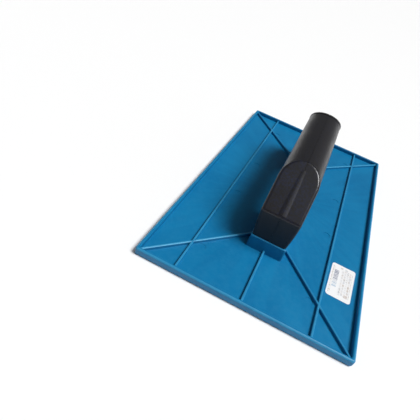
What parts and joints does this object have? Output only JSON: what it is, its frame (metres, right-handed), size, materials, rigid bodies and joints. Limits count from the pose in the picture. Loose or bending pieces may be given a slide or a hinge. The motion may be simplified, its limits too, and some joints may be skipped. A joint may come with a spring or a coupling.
{
  "type": "plasterer's hand float",
  "caption": "Rectangular ribbed plastic float with a smooth working face and a black bow handle clamped on two pedestals.",
  "frame": {"origin": "middle of the working face, which the float stands on", "axes": "+Y along the plate's length and the handle, +X across the plate towards the side with the label, +Z from the working face up through the handle"},
  "size_m": [0.165, 0.3, 0.0722],
  "materials": {
    "blue_plastic": "injection-moulded polypropylene, satin",
    "black_plastic": "injection-moulded plastic with a fine grain, satin",
    "label_paper": null
  },
  "bodies": {
    "root": {"base_plate": "blue_plastic", "handle_left_shell": "black_plastic", "handle_right_shell": "black_plastic", "label_sticker": "label_paper"}
  },
  "joints": []
}
